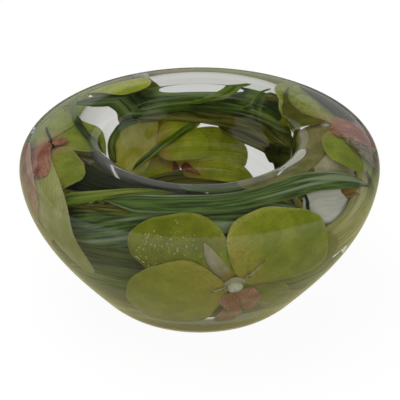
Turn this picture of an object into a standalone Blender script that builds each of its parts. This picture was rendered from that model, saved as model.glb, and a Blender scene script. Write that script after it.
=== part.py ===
# A round bowl of solid clear resin, with cymbidium flowers and strap leaves set inside it round a central well.
# Lengths here are in millimetres and angles in degrees; add_mesh turns them into metres.
# Azimuth 0 faces -Y and grows towards +X. Z = 0 is the surface that the bowl stands on.

import math

import bmesh
import bpy
import numpy as np

MM = 0.001

# Bowl
BOWL_RADIUS = 100.0
BOWL_HEIGHT = 95.0
FOOT_RADIUS = 57.5
WIDEST_HEIGHT = 75.0
TOP_RADIUS = 70.0
LIP_ROUNDING = 7.0
LIP_CENTRE_RADIUS = 61.0
WELL_FLOOR_HEIGHT = 38.0
WELL_FLOOR_RADIUS = 50.0
WELL_CORNER = 14.0
SKIN = 4.0
GAP = 0.3
BOWL_SEGMENTS = 48

# Base plug, which fills the middle under the well
PLUG_RIM_HEIGHT = 3.6
PLUG_CORE_RADIUS = 42.0
PLUG_CORE_FOOT = 10.0
PLUG_TOP_CHAMFER = 3.0

# The flowers and leaves lie on layers round a slanted line inside the ring of resin.
# LINE_LOW and LINE_HIGH are its ends, as radius and height.
LINE_LOW = np.array([53.0, 35.0])
LINE_HIGH = np.array([71.0, 72.0])
LEAF_REFERENCE = 14.0
FLOWER_REFERENCE = 18.0

PETAL_THICKNESS = 0.9
LEAF_THICKNESS = 0.8
CLAW_START = 3.7
CLAW_WIDTH = 3.2
COLUMN_RADIUS = 2.9
CAP_RADIUS = 3.6

GREEN = (0.36, 0.47, 0.05)
PALE_GREEN = (0.45, 0.55, 0.14)
LEAF_GREEN = (0.05, 0.13, 0.02)
PINK = (0.52, 0.16, 0.17)
CREAM = (0.75, 0.78, 0.62)

# Each flower: where its column stands, as azimuth, station and the layers it runs from and to, and then its
# pieces, as direction clockwise from the top, length, half-widths to the left and to the right of the midrib
# from claw to tip, and layer at the claw and at the tip.
FLOWERS = {
    "front_flower": {
        "place": (12.0, -12.5),
        "column": (15.2, 24.9),
        "dorsal_sepal": (-64, 60, (3, 8, 11, 12, 9, 6), (6, 21, 27, 26, 17, 6), 17.6, 16.6),
        "left_sepal": (135, 46, (5, 11, 14, 13, 9, 4), (4, 6, 8, 8, 7, 4), 17.6, 17.6),
        "right_sepal": (84, 61, (3, 8, 13, 15, 14, 8), (3, 8, 12, 15, 15, 9), 16.0, 16.6),
        "left_petal": (-112, 57, (5, 17, 30, 34, 32, 17), (11, 26, 29, 28, 22, 8), 19.2, 18.6),
        "right_petal": (62, 55, (24, 30, 29, 25, 15, 5), (3, 9, 16, 22, 24, 12), 19.2, 19.0),
        "lip": (172, 42, (6, 8, 8, 4, 5, 3), (3, 8, 7, 5, 6, 4), 20.9, 20.6),
    },
    "left_flower": {
        "place": (-84.0, 22.0),
        "column": (13.8, 19.0),
        "dorsal_sepal": (-14, 42, (6, 21, 22, 15, 12, 6), (5, 12, 16, 15, 11, 5), 16.0, 12.9),
        "left_sepal": (-152, 48, (3, 8, 11, 11, 8, 3), (3, 8, 11, 11, 8, 3), 15.3, 16.0),
        "right_sepal": (118, 75, (5, 12, 17, 20, 19, 10), (3, 5, 3, 3, 7, 8), 18.6, 20.4),
        "left_petal": (-97, 52, (4, 9, 12, 12, 9, 4), (4, 14, 18, 12, 5, 2), 18.2, 17.0),
        "right_petal": (82, 44, (10, 13, 13, 12, 8, 3), (4, 9, 11, 13, 14, 10), 17.3, 17.4),
        "lip": (96, 28, (4, 4.5, 4.5, 4, 3, 2), (5, 6.5, 6.5, 6.5, 5, 3), 20.2, 20.6),
    },
    "right_flower": {
        "place": (101.0, 36.0),
        "column": (10.4, 18.4),
        "dorsal_sepal": (99, 60, (9, 14.5, 15, 12.5, 9, 4), (3, 6, 7, 7.5, 8, 5), 14.6, 18.2),
        "left_sepal": (-108, 51, (3, 5, 7, 9, 9, 5), (4, 9, 11, 11, 9, 4), 14.6, 19.6),
        "right_sepal": (150, 50, (3, 9, 12, 12, 9, 4), (3, 9, 12, 12, 9, 4), 16.1, 19.6),
        "left_petal": (-132, 52, (3, 7, 9, 9, 7, 3), (3, 7, 9, 9, 7, 3), 13.1, 18.0),
        "right_petal": (122, 42, (3, 7, 9, 9, 7, 3), (3, 7, 9, 9, 7, 3), 13.1, 13.5),
        "lip": (-152, 36, (8, 12, 13, 11, 8, 4), (7, 11, 13, 13, 10, 4), 18.2, 21.4),
    },
    "back_flower": {
        "place": (-164.0, -20.0),
        "column": (7.9, 24.6),
        "dorsal_sepal": (28, 68, (4, 8, 10, 13, 18, 11), (8, 21, 26, 27, 25, 12), 12.8, 17.4),
        "left_sepal": (140, 46, (4, 10, 14, 14, 11, 5), (4, 10, 14, 14, 11, 5), 11.3, 12.4),
        "right_sepal": (-125, 54, (3, 9, 16, 19, 16, 8), (1, 1, 2, 6, 12, 6), 12.4, 12.8),
        "left_petal": (95, 50, (7, 5, 3, 3, 4, 4), (5, 12, 17, 17, 12, 5), 14.3, 16.8),
        "right_petal": (-88, 58, (6, 12, 13, 13, 13, 8), (5, 7, 9, 10, 9, 6), 14.3, 16.0),
        "lip": (-176, 34, (2, 4, 5, 4, 2.5, 1.5), (2, 4, 5, 4, 2.5, 1.5), 16.0, 18.0),
    },
}

# Each leaf: azimuths, stations, layers and widths along it, each list evenly spaced from end to end.
LEAVES = {
    "front_leaf_1": (
        (-38, -24, -8, 8, 24, 37, 48, 57, 65, 71),
        (20, 24.5, 27.5, 28.5, 28.5, 27.5, 25, 19.5, 13.5, 9),
        (15.0, 15.2, 16.6, 20.0),
        (9, 12, 14, 14, 14, 14, 13, 10, 5, 1.5),
    ),
    "front_leaf_2": ((-40, 38), (7, 14, 18, 20, 19, 15), (13.4, 13.4), (15, 15)),
    "front_leaf_3": ((-72, 38), (-6, 1, 5, 6, 5, 3), (11.8, 11.8), (15, 15)),
    "front_leaf_4": ((-68, 56), (-18, -12, -8, -8, -10, -14), (10.2, 10.2), (15, 15)),
    "front_leaf_5": ((-62, 38), (-28, -24, -21, -21, -24), (8.6, 8.6), (14, 14)),
    "front_leaf_6": ((-60, 66), (-40, -37, -36, -37, -40, -42), (7.0, 7.0), (13, 13)),
    "right_leaf_1": ((24, 100), (-24, -26, -29, -34), (14.6, 14.6), (13, 13)),
    "right_leaf_2": ((36, 52, 68, 84, 104), (-10, -8, -4, -2, -4), (13.0, 13.0), (22, 22)),
    "right_leaf_3": ((106, 142), (19, 20, 18), (19.1, 19.1), (8, 8)),
    "back_leaf_1": (
        (112, 128, 144, 162, 180, 200, 216, 228, 238),
        (38, 38, 37, 36.5, 36.5, 36.5, 36, 34, 30),
        (12.2, 12.2),
        (12, 12),
    ),
    "back_leaf_2": (
        (98, 110, 124, 137, 152, 166, 180, 196, 212, 226),
        (47, 44.5, 41.5, 39, 37.5, 39, 39.5, 40, 38.5, 33),
        (9.4, 9.4),
        (13, 13),
    ),
    "back_leaf_3": (
        (100, 114, 128, 142, 156, 170, 184, 198, 212, 226),
        (51.5, 50.5, 49.5, 48, 46.5, 46, 44, 41.5, 38, 31),
        (10.8, 10.8),
        (11, 11),
    ),
    "back_leaf_4": ((104, 120, 138, 156, 170), (56, 56.5, 56, 54, 49), (8.2, 8.2), (9, 9)),
    "back_leaf_5": ((118, 244), (-44, -42, -41, -42, -44), (10.4, 10.4), (11, 11)),
    "well_leaf_1": (
        (212, 226, 237, 245, 248, 242),
        (38, 36.5, 40, 43.5, 49.5, 57.5),
        (7.8, 7.8),
        (13, 15, 12, 10, 8, 2),
    ),
    "well_leaf_2": ((181, 195, 209, 224), (51, 58, 64, 69), (7.0, 6.4, 5.6), (5, 5)),
    "tip_leaf_1": ((186, 176, 167, 160, 155), (38, 36, 34, 31.5, 28), (13.2, 15.4, 16.4), (3.4, 3.4)),
    "tip_leaf_2": ((154, 149, 147, 145), (38, 34, 31.5, 27), (13.2, 14.6, 15.4), (2.5, 2.5)),
}


def clear_scene():
    for obj in list(bpy.data.objects):
        bpy.data.objects.remove(obj, do_unlink=True)


def material(name, colour, roughness=0.45, transmission=0.0):
    made = bpy.data.materials.new(name)
    made.use_nodes = True
    shader = made.node_tree.nodes["Principled BSDF"]
    shader.inputs["Base Color"].default_value = (*colour, 1.0)
    shader.inputs["Roughness"].default_value = roughness
    shader.inputs["Metallic"].default_value = 0.0
    shader.inputs["Transmission Weight"].default_value = transmission
    return made


def add_mesh(name, points, faces, surface):
    """One closed body from points in millimetres; its faces are turned outwards."""
    mesh = bpy.data.meshes.new(name)
    mesh.from_pydata((np.asarray(points) * MM).tolist(), [], faces)
    work = bmesh.new()
    work.from_mesh(mesh)
    bmesh.ops.recalc_face_normals(work, faces=work.faces)
    if work.calc_volume(signed=True) < 0:
        bmesh.ops.reverse_faces(work, faces=work.faces)
    work.to_mesh(mesh)
    work.free()
    mesh.shade_smooth()
    mesh.set_sharp_from_angle(angle=math.radians(40))
    mesh.materials.append(surface)
    obj = bpy.data.objects.new(name, mesh)
    bpy.context.scene.collection.objects.link(obj)
    return obj


def bezier(p0, p1, p2, p3, count):
    t = np.linspace(0, 1, count)[:, None]
    p0, p1, p2, p3 = (np.array(p, float) for p in (p0, p1, p2, p3))
    return (1 - t) ** 3 * p0 + 3 * t * (1 - t) ** 2 * p1 + 3 * t**2 * (1 - t) * p2 + t**3 * p3


def arc(centre, radius, start, end, count):
    angle = np.radians(np.linspace(start, end, count))
    return np.stack([centre[0] + radius * np.cos(angle), centre[1] + radius * np.sin(angle)], 1)


def outer_wall(count):
    """The outside from the foot up to the widest ring and over the shoulder to the top, as radius and height."""
    side = bezier(
        (FOOT_RADIUS, 0),
        (FOOT_RADIUS + 18, 22),
        (BOWL_RADIUS - 1.5, WIDEST_HEIGHT - 28),
        (BOWL_RADIUS, WIDEST_HEIGHT),
        count,
    )
    shoulder = bezier(
        (BOWL_RADIUS, WIDEST_HEIGHT),
        (BOWL_RADIUS, WIDEST_HEIGHT + 12),
        (BOWL_RADIUS - 7.5, BOWL_HEIGHT),
        (TOP_RADIUS, BOWL_HEIGHT),
        count,
    )
    return np.vstack([side, shoulder[1:]])


def inset(profile, distance):
    """The profile moved towards the inside of the wall by this distance."""
    along = np.gradient(profile, axis=0)
    along /= np.linalg.norm(along, axis=1)[:, None]
    return profile + distance * np.stack([-along[:, 1], along[:, 0]], 1)


def revolve(name, profile, surface):
    """A body of revolution from a profile whose first and last points lie on the axis."""
    angle = np.radians(np.arange(BOWL_SEGMENTS) * 360 / BOWL_SEGMENTS)
    rings = profile[1:-1]
    ring_points = np.stack(
        [
            rings[:, :1] * np.cos(angle),
            rings[:, :1] * np.sin(angle),
            np.repeat(rings[:, 1:], BOWL_SEGMENTS, axis=1),
        ],
        2,
    ).reshape(-1, 3)
    first = len(ring_points)
    points = np.vstack([ring_points, [0, 0, profile[0][1]], [0, 0, profile[-1][1]]])
    faces = []
    for ring in range(len(rings) - 1):
        for k in range(BOWL_SEGMENTS):
            after = (k + 1) % BOWL_SEGMENTS
            low = ring * BOWL_SEGMENTS
            high = low + BOWL_SEGMENTS
            faces.append((low + k, low + after, high + after, high + k))
    last = (len(rings) - 1) * BOWL_SEGMENTS
    for k in range(BOWL_SEGMENTS):
        after = (k + 1) % BOWL_SEGMENTS
        faces.append((first, after, k))
        faces.append((first + 1, last + k, last + after))
    return add_mesh(name, points, faces, surface)


def build_bowl(surface):
    """The whole outside and the well, as a wall of the skin's thickness, open underneath round the base."""
    floor_centre = (WELL_FLOOR_RADIUS - WELL_CORNER, WELL_FLOOR_HEIGHT + WELL_CORNER)
    lip_centre = (LIP_CENTRE_RADIUS, BOWL_HEIGHT - LIP_ROUNDING)
    outside = outer_wall(11)
    well = np.vstack(
        [
            [(0, WELL_FLOOR_HEIGHT)],
            arc(floor_centre, WELL_CORNER, -90, 0, 5),
            arc(lip_centre, LIP_ROUNDING, 180, 90, 6),
        ]
    )
    behind_well = np.vstack(
        [
            arc(lip_centre, LIP_ROUNDING - SKIN, 90, 180, 5),
            arc(floor_centre, WELL_CORNER + SKIN, 0, -90, 5),
            [(0, WELL_FLOOR_HEIGHT - SKIN)],
        ]
    )
    inside = inset(outside, SKIN)
    foot_opening = [(FOOT_RADIUS - SKIN, 0)]
    profile = np.vstack([well, outside[::-1], foot_opening, inside[:-1], behind_well])
    return revolve("resin_bowl", profile, surface)


def build_base(surface):
    """The plug under the well. Its flat underside is what the bowl stands on."""
    rim = FOOT_RADIUS - SKIN - GAP
    top = WELL_FLOOR_HEIGHT - SKIN - GAP
    profile = np.array(
        [
            (0, 0),
            (rim, 0),
            (rim, PLUG_RIM_HEIGHT),
            (PLUG_CORE_RADIUS, PLUG_CORE_FOOT),
            (PLUG_CORE_RADIUS, top - PLUG_TOP_CHAMFER),
            (PLUG_CORE_RADIUS - PLUG_TOP_CHAMFER, top),
            (0, top),
        ]
    )
    return revolve("resin_base", profile, surface)


def ring_point(azimuth, station, reference, layer):
    """A point on a layer round the slanted line: station 0 is at the line's high end on the outer side.
    Below 0 the layer runs down the outer side and under the line; above 0 it runs over the top and down
    the well side. Stations are true lengths on the layer whose number is the reference."""
    line = LINE_HIGH - LINE_LOW
    length = np.linalg.norm(line)
    lean = math.atan2(-line[0], line[1])
    over_top = math.pi * reference
    down_well = np.clip(station - over_top, 0, length)
    down_side = np.clip(-station, 0, length)
    turn_top = np.clip(station, 0, over_top) / reference
    turn_low = np.clip(-station - length, 0, over_top) / reference
    angle = lean + turn_top - turn_low
    foot = LINE_HIGH - line * ((down_side + down_well) / length)[..., None]
    radius = foot[..., 0] + layer * np.cos(angle)
    height = foot[..., 1] + layer * np.sin(angle)
    turn = np.radians(azimuth)
    return np.stack([radius * np.sin(turn), -radius * np.cos(turn), height], -1)


def add_slab(name, outer, inner, surface):
    """A closed body between two grids of points."""
    rows, columns = outer.shape[:2]
    count = rows * columns
    index = np.arange(count).reshape(rows, columns)
    faces = []
    for i in range(rows - 1):
        for j in range(columns - 1):
            corners = (index[i, j], index[i, j + 1], index[i + 1, j + 1], index[i + 1, j])
            faces.append(tuple(int(c) for c in corners))
            faces.append(tuple(int(c) + count for c in reversed(corners)))
    edge = [*index[0, :-1], *index[:-1, -1], *index[-1, :0:-1], *index[:0:-1, 0]]
    for here, there in zip(edge, edge[1:] + edge[:1]):
        faces.append((int(there), int(here), int(here) + count, int(there) + count))
    points = np.vstack([outer.reshape(-1, 3), inner.reshape(-1, 3)])
    return add_mesh(name, points, faces, surface)


def outline(along, widths):
    """Half-width of a blade along it: a smooth curve through its widths, rounded off at both ends."""
    start = np.sqrt(np.clip(1 - (1 - np.clip(along / 0.10, 0, 1)) ** 2, 0, 1))
    end = np.sqrt(np.clip(1 - np.clip((along - 0.86) / 0.14, 0, 1) ** 2, 0, 1))
    claw = CLAW_WIDTH / 2 * (1 - along) + 0.8
    return np.maximum(smooth_through(widths, along) * start * end, claw)[:, None]


def flower_blade(name, place, piece, surface):
    """A sepal, petal or lip: a narrow claw beside the column, a round tip and its own width to each side."""
    azimuth, station = place
    direction, length, left, right, layer_at_claw, layer_at_tip = piece
    turn = math.radians(direction)
    along = (1 - np.cos(np.linspace(0, math.pi, 12))) / 2
    across = np.array([-1, -0.5, 0, 0.5, 1])
    u, v = np.meshgrid(along, across, indexing="ij")
    out = CLAW_START + (length - CLAW_START) * u
    side = v * np.where(v < 0, outline(along, left), outline(along, right))
    x = out * math.sin(turn) + side * math.cos(turn)
    y = out * math.cos(turn) - side * math.sin(turn)
    layer = layer_at_claw + (layer_at_tip - layer_at_claw) * u
    local = ring_point(0.0, station + y, FLOWER_REFERENCE, layer)
    spin = azimuth + np.degrees(x / np.hypot(local[..., 0], local[..., 1]))
    outer = ring_point(spin, station + y, FLOWER_REFERENCE, layer + PETAL_THICKNESS / 2)
    inner = ring_point(spin, station + y, FLOWER_REFERENCE, layer - PETAL_THICKNESS / 2)
    return add_slab(name, outer, inner, surface)


def column(name, place, layers, surface):
    """The column stands across the layers, with its anther cap at the outer end."""
    azimuth, station = place
    start, end = (ring_point(azimuth, np.array(station), FLOWER_REFERENCE, layer) for layer in layers)
    reach = np.linalg.norm(end - start)
    axis = (end - start) / reach
    level = np.array([math.cos(math.radians(azimuth)), math.sin(math.radians(azimuth)), 0.0])
    other = np.cross(axis, level)
    stations = np.array([0.0, 0.0, reach - 2.6, reach - 1.9, reach - 0.8, reach])
    radii = np.array([1.2, COLUMN_RADIUS, COLUMN_RADIUS, CAP_RADIUS - 0.4, CAP_RADIUS - 0.6, 1.6])
    stations[1] = 0.5
    angle = np.radians(np.arange(10) * 36)
    circle = np.cos(angle)[:, None] * level + np.sin(angle)[:, None] * other
    rings = start + stations[:, None, None] * axis + radii[:, None, None] * circle
    points = rings.reshape(-1, 3)
    faces = [tuple(range(9, -1, -1)), tuple(range(50, 60))]
    for ring in range(5):
        for k in range(10):
            after = (k + 1) % 10
            low = ring * 10
            faces.append((low + k, low + after, low + 10 + after, low + 10 + k))
    return add_mesh(name, points, faces, surface)


def smooth_through(values, at):
    """A smooth curve through evenly spaced values (Catmull-Rom), read at positions from 0 to 1."""
    values = np.asarray(values, float)
    padded = np.concatenate([[2 * values[0] - values[1]], values, [2 * values[-1] - values[-2]]])
    place = np.clip(at, 0, 1) * (len(values) - 1)
    first = np.minimum(place.astype(int), len(values) - 2)
    t = place - first
    a, b, c, d = (padded[first + k] for k in range(4))
    return b + 0.5 * t * (c - a + t * (2 * a - 5 * b + 4 * c - d + t * (3 * (b - c) + d - a)))


def leaf(name, shape, surface):
    """A strap leaf along its path, drawn out to a narrow tip at each end."""
    azimuths, stations, layers, widths = shape
    along = np.linspace(0, 1, 17)
    across = np.linspace(-1, 1, 3)
    half = smooth_through(widths, along) / 2 * np.minimum(1, 3.2 * np.sin(math.pi * along)) ** 0.7
    half = np.maximum(half, 0.7)
    v = np.meshgrid(along, across, indexing="ij")[1]
    middle = smooth_through(stations, along)
    turn = smooth_through(azimuths, along)
    layer = smooth_through(layers, along)[:, None] + 0 * v
    path = ring_point(0.0, middle, LEAF_REFERENCE, layer[:, 0])
    radius = np.hypot(path[:, 0], path[:, 1])
    slope = np.arctan2(np.gradient(middle, along), np.gradient(np.radians(turn), along) * radius)[:, None]
    station = middle[:, None] + v * half[:, None] * np.cos(slope)
    sideways = -v * half[:, None] * np.sin(slope)
    azimuth = turn[:, None] + np.degrees(sideways / radius[:, None])
    outer = ring_point(azimuth, station, LEAF_REFERENCE, layer + LEAF_THICKNESS / 2)
    inner = ring_point(azimuth, station, LEAF_REFERENCE, layer - LEAF_THICKNESS / 2)
    return add_slab(name, outer, inner, surface)


def build_flower(name, parts, surfaces):
    place = parts["place"]
    for piece, shape in parts.items():
        if piece == "place":
            continue
        if piece == "column":
            column(f"{name}_column", place, shape, surfaces["column"])
            continue
        kind = piece.split("_")[-1]
        flower_blade(f"{name}_{piece}", place, shape, surfaces[kind])


def main():
    clear_scene()
    resin = material("resin", (0.95, 0.97, 0.95), roughness=0.03, transmission=1.0)
    surfaces = {
        "sepal": material("sepal", PALE_GREEN),
        "petal": material("petal", GREEN),
        "lip": material("lip", PINK),
        "column": material("column", CREAM),
    }
    leaf_surface = material("leaf", LEAF_GREEN)
    build_bowl(resin)
    build_base(resin)
    for name, parts in FLOWERS.items():
        build_flower(name, parts, surfaces)
    for name, shape in LEAVES.items():
        leaf(name, shape, leaf_surface)


main()
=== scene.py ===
# A cymbidium orchid casting: flowers and strap leaves in a thick bowl of clear resin.
# The shapes below are in millimetres and degrees; makePiece turns them into metres.
import math

import bpy
import numpy as np
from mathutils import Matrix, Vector


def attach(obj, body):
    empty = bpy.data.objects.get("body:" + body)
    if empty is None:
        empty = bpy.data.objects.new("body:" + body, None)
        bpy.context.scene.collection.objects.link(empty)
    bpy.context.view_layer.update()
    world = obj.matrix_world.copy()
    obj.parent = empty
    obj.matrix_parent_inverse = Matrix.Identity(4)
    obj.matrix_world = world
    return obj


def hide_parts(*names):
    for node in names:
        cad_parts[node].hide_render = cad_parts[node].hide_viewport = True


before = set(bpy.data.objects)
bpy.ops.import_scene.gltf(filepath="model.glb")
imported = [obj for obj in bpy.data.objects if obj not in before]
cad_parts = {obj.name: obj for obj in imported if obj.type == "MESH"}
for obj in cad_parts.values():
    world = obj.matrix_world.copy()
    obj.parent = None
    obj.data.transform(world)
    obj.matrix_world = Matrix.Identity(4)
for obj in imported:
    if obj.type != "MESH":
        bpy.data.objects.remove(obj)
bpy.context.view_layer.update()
print("frame loaded:", len(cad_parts), "solids")

mm = 0.001


# Small helpers.

# An sRGB colour written as hex, turned to the linear values that shaders take.
def linearColour(hexText):
    parts = np.array([int(hexText[k:k + 2], 16) for k in (1, 3, 5)]) / 255
    parts = np.where(parts <= 0.04045, parts / 12.92, ((parts + 0.055) / 1.055) ** 2.4)
    return (*parts.tolist(), 1.0)


# One node with its settings; inputs holds numbers, colours or the sockets to link from.
def addNode(tree, kind, inputs=None, **settings):
    node = tree.nodes.new(kind)
    for name, value in settings.items():
        setattr(node, name, value)
    for socket, value in (inputs or {}).items():
        if isinstance(value, bpy.types.NodeSocket):
            tree.links.new(value, node.inputs[socket])
        else:
            node.inputs[socket].default_value = value
    return node


def newMaterial(name):
    made = bpy.data.materials.new(name)
    made.use_nodes = True
    made.node_tree.nodes.clear()
    return made, made.node_tree


def mathNode(tree, operation, first, second=0.0):
    return addNode(tree, "ShaderNodeMath", {0: first, 1: second}, operation=operation).outputs[0]


def times(tree, first, second):
    return mathNode(tree, "MULTIPLY", first, second)


def plus(tree, first, second):
    return mathNode(tree, "ADD", first, second)


# Value runs smoothly from 0 at low to 1 at high.
def smoothStep(tree, value, low, high):
    return addNode(tree, "ShaderNodeMapRange", {"Value": value, "From Min": low, "From Max": high},
                   interpolation_type="SMOOTHSTEP").outputs["Result"]


# Value from 0 to 1 becomes a number from low to high.
def spread(tree, value, low, high):
    return addNode(tree, "ShaderNodeMapRange", {
        "Value": value, "To Min": low, "To Max": high}).outputs["Result"]


# The colour mixer's factor, its two colours and its result are sockets 0, 6, 7 and 2.
def mixColour(tree, share, first, second):
    return addNode(tree, "ShaderNodeMix", {0: share, 6: first, 7: second}, data_type="RGBA").outputs[2]


# The base colour with a tint laid over it where the mask is 1, at the given share.
def tinted(tree, base, mask, share, tint):
    return mixColour(tree, times(tree, mask, share), base, tint)


# Noise from 0 to 1; scale counts its patches along a metre.
def noise(tree, vector, scale, detail, roughness=0.5):
    return addNode(tree, "ShaderNodeTexNoise", {
        "Vector": vector, "Scale": scale, "Detail": detail, "Roughness": roughness}).outputs["Fac"]


def objectPlace(tree):
    return addNode(tree, "ShaderNodeTexCoord").outputs["Object"]


# What the attribute blade holds: along from 0 to 1, across from -1 to 1, and millimetres from the midrib.
def bladeTerms(tree):
    blade = addNode(tree, "ShaderNodeAttribute", attribute_name="blade").outputs["Vector"]
    return addNode(tree, "ShaderNodeSeparateXYZ", {0: blade}).outputs


# The shader's surface goes to the material's output.
def showSurface(tree, shader):
    addNode(tree, "ShaderNodeOutputMaterial", {"Surface": shader.outputs[0]})


# The skin of a tissue: a shader with its colour, roughness and relief.
def finishSkin(tree, skin, colour, roughness, relief):
    bump = addNode(tree, "ShaderNodeBump", {
        "Strength": skin["strength"], "Distance": skin["depth"], "Height": relief}).outputs[0]
    showSurface(tree, addNode(tree, "ShaderNodeBsdfPrincipled", {
        "Base Color": colour, "Roughness": roughness, "Normal": bump, "Specular IOR Level": skin["gloss"]}))


# Materials.

# Clear casting resin, poured and polished: sharp reflections and refraction like glass. Shadow rays pass
# straight through, so that lamps reach what is cast inside it.
def resinMaterial():
    made, tree = newMaterial("clearCastingResin")
    resin = addNode(tree, "ShaderNodeBsdfPrincipled", {
        "Base Color": linearColour("#fbfcf8"), "Roughness": 0.0, "IOR": 1.5, "Transmission Weight": 1.0})
    through = addNode(tree, "ShaderNodeBsdfTransparent", {"Color": linearColour("#f4f6ee")})
    path = addNode(tree, "ShaderNodeLightPath")
    showSurface(tree, addNode(tree, "ShaderNodeMixShader", {
        0: path.outputs["Is Shadow Ray"], 1: resin.outputs[0], 2: through.outputs[0]}))
    return made


# Cloudy patches about 10 mm wide, a soft grain of about 2 mm and pores of about 0.4 mm. A pair says where
# something starts and where it is full: the margin across the blade, the patches in the noise.
petalSkin = {"patchScale": 100.0, "grainScale": 480.0, "poreScale": 2400.0, "patchEdge": (0.38, 0.62),
             "grainShare": 0.25, "margin": (0.86, 0.98), "tip": 0.965, "veinSway": 5.0, "veinRelief": -0.25,
             "poreRelief": 0.3, "spotEdge": 0.08, "roughness": (0.45, 0.7), "strength": 0.5, "depth": 0.0006,
             "gloss": 0.2}


# Fresh petal tissue: soft matte skin, a thin pale margin, a yellow claw and fine veins that run along it.
def petalMaterial(name, colours, clawEnd, marginShare, veinShare, veinSpacing, spotShare, spotStart):
    green, lightGreen, claw, margin, vein, spot = (linearColour(text) for text in colours.split())
    skin = petalSkin
    made, tree = newMaterial(name)
    along, across, reach = bladeTerms(tree)
    place = objectPlace(tree)
    cloud = noise(tree, place, skin["patchScale"], 2.0)
    grain = noise(tree, place, skin["grainScale"], 3.0)
    pores = noise(tree, place, skin["poreScale"], 1.0)
    # veins run from claw to tip and sway with the patches
    phase = plus(tree, times(tree, reach, 2 * math.pi / veinSpacing), times(tree, cloud, skin["veinSway"]))
    veins = smoothStep(tree, mathNode(tree, "SINE", phase), 0.0, 1.0)
    patch = plus(tree, times(tree, cloud, 1 - skin["grainShare"]), times(tree, grain, skin["grainShare"]))
    edge = smoothStep(tree, mathNode(tree, "ABSOLUTE", across), *skin["margin"])
    edge = mathNode(tree, "MAXIMUM", edge, smoothStep(tree, along, skin["tip"], 1.0))
    spots = smoothStep(tree, grain, spotStart, spotStart + skin["spotEdge"])
    tissue = mixColour(tree, smoothStep(tree, patch, *skin["patchEdge"]), green, lightGreen)
    tissue = mixColour(tree, smoothStep(tree, along, clawEnd, 0.0), tissue, claw)
    tissue = tinted(tree, tissue, edge, marginShare, margin)
    tissue = tinted(tree, tissue, veins, veinShare, vein)
    tissue = tinted(tree, tissue, spots, spotShare, spot)
    relief = plus(tree, times(tree, veins, skin["veinRelief"]),
                  plus(tree, grain, times(tree, pores, skin["poreRelief"])))
    finishSkin(tree, skin, tissue, spread(tree, grain, *skin["roughness"]), relief)
    return made


# Fine streaks about 1.1 mm wide and 25 mm long, and broad ones about three times as large.
leafSkin = {"streaksAcross": 0.9, "streaksAlong": 4.0, "broadScale": 0.3, "fineEdge": (0.4, 0.62),
            "broadEdge": (0.5, 0.64), "margin": (0.86, 1.0), "marginShare": 0.6, "roughness": (0.35, 0.6),
            "strength": 0.6, "depth": 0.0005, "gloss": 0.25}


# Strap leaf: waxy skin with close parallel veins, so it reads as long light and dark stripes.
def leafMaterial(name, colours, paleShare, seed):
    dark, mid, pale, edge = (linearColour(text) for text in colours.split())
    skin = leafSkin
    made, tree = newMaterial(name)
    along, across, reach = bladeTerms(tree)
    stretch = addNode(tree, "ShaderNodeCombineXYZ", {
        0: times(tree, reach, skin["streaksAcross"]), 1: times(tree, along, skin["streaksAlong"]),
        2: seed}).outputs[0]
    fine = noise(tree, stretch, 1.0, 4.0, roughness=0.65)
    broad = smoothStep(tree, noise(tree, stretch, skin["broadScale"], 1.0), *skin["broadEdge"])
    tissue = mixColour(tree, smoothStep(tree, fine, *skin["fineEdge"]), dark, mid)
    tissue = tinted(tree, tissue, broad, paleShare, pale)
    margin = smoothStep(tree, mathNode(tree, "ABSOLUTE", across), *skin["margin"])
    tissue = tinted(tree, tissue, margin, skin["marginShare"], edge)
    finishSkin(tree, skin, tissue, spread(tree, fine, *skin["roughness"]), fine)
    return made


columnSkin = {"pitScale": 700.0, "pitEdge": (0.35, 0.7), "roughness": 0.4, "strength": 0.4, "depth": 0.0004,
              "gloss": 0.3}


# The column's wax: a cream cap with a faint green tint and soft pits of about 1 mm.
def columnMaterial():
    skin = columnSkin
    made, tree = newMaterial("columnWax")
    pits = noise(tree, objectPlace(tree), skin["pitScale"], 2.0)
    colour = mixColour(tree, smoothStep(tree, pits, *skin["pitEdge"]),
                       linearColour("#c9cfb0"), linearColour("#e8ecdc"))
    finishSkin(tree, skin, colour, skin["roughness"], pits)
    return made


# Air caught in resin, drawn as pale glossy dots: the pale yellow-green colour is a painted reflection of the
# light and the green around them.
def airMaterial():
    made, tree = newMaterial("trappedAirGlint")
    showSurface(tree, addNode(tree, "ShaderNodeBsdfPrincipled", {
        "Base Color": linearColour("#d2d384"), "Roughness": 0.25, "Metallic": 0.3,
        "Specular IOR Level": 0.6}))
    return made


# Surfaces.

# A piece from points in millimetres and corner lists, that stands for those of the nodes which the frame has;
# blade holds one vector a point for the materials.
def makePiece(name, points, faces, material, nodes=(), blade=None):
    mesh = bpy.data.meshes.new(name)
    faces = np.asarray(faces, np.int32)
    mesh.vertices.add(len(points))
    mesh.vertices.foreach_set("co", (np.asarray(points) * mm).astype(np.float32).ravel())
    mesh.loops.add(faces.size)
    mesh.loops.foreach_set("vertex_index", faces.ravel())
    mesh.polygons.add(len(faces))
    mesh.polygons.foreach_set("loop_start", np.arange(0, faces.size, faces.shape[1], dtype=np.int32))
    mesh.polygons.foreach_set("use_smooth", np.ones(len(faces), bool))
    mesh.update(calc_edges=True)
    mesh.validate()
    if blade is not None:
        layer = mesh.attributes.new("blade", "FLOAT_VECTOR", "POINT")
        layer.data.foreach_set("vector", np.asarray(blade, np.float32).ravel())
    mesh.materials.append(material)
    piece = bpy.data.objects.new(name, mesh)
    bpy.context.scene.collection.objects.link(piece)
    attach(piece, "root")
    stands = [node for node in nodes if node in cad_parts]
    if stands:
        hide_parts(*stands)


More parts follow.
